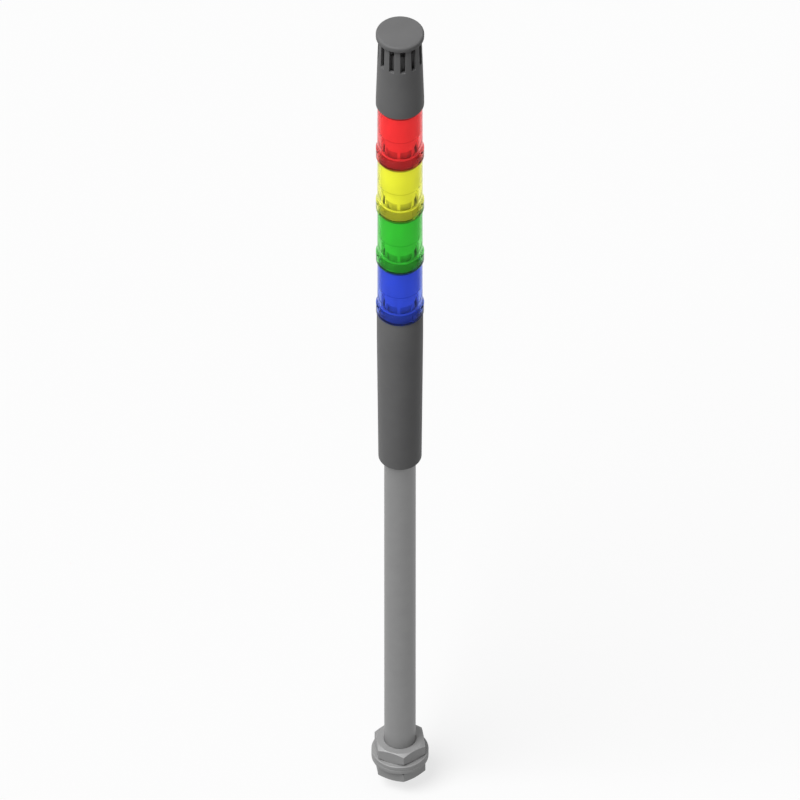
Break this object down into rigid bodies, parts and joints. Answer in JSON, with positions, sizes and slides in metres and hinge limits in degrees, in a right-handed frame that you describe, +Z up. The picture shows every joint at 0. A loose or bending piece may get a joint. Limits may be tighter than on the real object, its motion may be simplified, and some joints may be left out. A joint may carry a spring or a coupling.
{
  "type": "stack light",
  "caption": "Signal tower with stacked coloured lens tiers, a slotted sounder on top, a tapered body tube and a round pole clamped through a panel by hexagon nuts and washers.",
  "frame": {"origin": "centre of the pole's lower end, at the mouth of its wire bore", "axes": "+Z up along the pole, -Y to the front, where a slot of the sounder and a corner of each nut point"},
  "size_m": [0.036, 0.036, 0.6393],
  "materials": {
    "pole_metal": "satin anodised",
    "nut_metal": "zinc plated, satin",
    "dark_plastic": "fine moulded texture",
    "inner_black": "moulded",
    "seal_rubber": "matt",
    "contact_brass": "plated",
    "core_white": "natural, smooth",
    "board": "white solder mask",
    "led_chip": "clear resin",
    "lens_blue": "clear, polished outside",
    "diffuser_blue": "frosted",
    "lens_green": "clear, polished outside",
    "diffuser_green": "frosted",
    "lens_yellow": "clear, polished outside",
    "diffuser_yellow": "frosted",
    "lens_red": "clear, polished outside",
    "diffuser_red": "frosted"
  },
  "bodies": {
    "base": {"pole": "pole_metal", "upper_nut": "nut_metal", "upper_washer": "nut_metal", "body_tube": "dark_plastic", "pole_bush": "inner_black", "terminal_block": "inner_black", "coupler_tube": "inner_black", "seal_tube": "seal_rubber", "contact_pads_tube": "contact_brass"},
    "washer_ring": {"lower_washer": "nut_metal"},
    "clamp_nut": {"lower_nut": "nut_metal"},
    "tier_blue": {"lens_blue": "lens_blue", "diffuser_blue": "diffuser_blue", "core_blue": "core_white", "contact_block_blue": "inner_black", "contact_springs_blue": "contact_brass", "led_board_blue": "board", "leds_blue": "led_chip", "coupler_blue": "inner_black", "seal_blue": "seal_rubber", "contact_pads_blue": "contact_brass"},
    "tier_green": {"lens_green": "lens_green", "diffuser_green": "diffuser_green", "core_green": "core_white", "contact_block_green": "inner_black", "contact_springs_green": "contact_brass", "led_board_green": "board", "leds_green": "led_chip", "coupler_green": "inner_black", "seal_green": "seal_rubber", "contact_pads_green": "contact_brass"},
    "tier_yellow": {"lens_yellow": "lens_yellow", "diffuser_yellow": "diffuser_yellow", "core_yellow": "core_white", "contact_block_yellow": "inner_black", "contact_springs_yellow": "contact_brass", "led_board_yellow": "board", "leds_yellow": "led_chip", "coupler_yellow": "inner_black", "seal_yellow": "seal_rubber", "contact_pads_yellow": "contact_brass"},
    "tier_red": {"lens_red": "lens_red", "diffuser_red": "diffuser_red", "core_red": "core_white", "contact_block_red": "inner_black", "contact_springs_red": "contact_brass", "led_board_red": "board", "leds_red": "led_chip", "coupler_red": "inner_black", "seal_red": "seal_rubber", "contact_pads_red": "contact_brass"},
    "sounder": {"sounder_housing": "dark_plastic", "sounder_core": "dark_plastic", "sounder_board": "board", "sounder_buzzer": "inner_black", "sounder_cap": "dark_plastic", "contact_block_sounder": "inner_black", "contact_springs_sounder": "contact_brass"}
  },
  "joints": [
    {"name": "washer_drop", "type": "slide", "parent": "base", "child": "washer_ring", "axis": [0, 0, -1], "range_m": [0, 0.0106]},
    {"name": "nut_turn", "type": "hinge", "parent": "washer_ring", "child": "clamp_nut", "pos_m": [0, 0, 0.0085], "axis": [0, 0, -1], "range_deg": [0, 2520]},
    {"name": "blue_twist", "type": "hinge", "parent": "base", "child": "tier_blue", "pos_m": [0, 0, 0.4015], "axis": [0, 0, 1], "range_deg": [0, 22]},
    {"name": "green_twist", "type": "hinge", "parent": "tier_blue", "child": "tier_green", "pos_m": [0, 0, 0.4458], "axis": [0, 0, 1], "range_deg": [0, 22]},
    {"name": "yellow_twist", "type": "hinge", "parent": "tier_green", "child": "tier_yellow", "pos_m": [0, 0, 0.4901], "axis": [0, 0, 1], "range_deg": [0, 22]},
    {"name": "red_twist", "type": "hinge", "parent": "tier_yellow", "child": "tier_red", "pos_m": [0, 0, 0.5344], "axis": [0, 0, 1], "range_deg": [0, 22]},
    {"name": "sounder_twist", "type": "hinge", "parent": "tier_red", "child": "sounder", "pos_m": [0, 0, 0.5787], "axis": [0, 0, 1], "range_deg": [0, 22]}
  ],
  "couplings": [
    {"joint": "washer_drop", "follows": "nut_turn", "m_per_rad": 0.00023873}
  ]
}
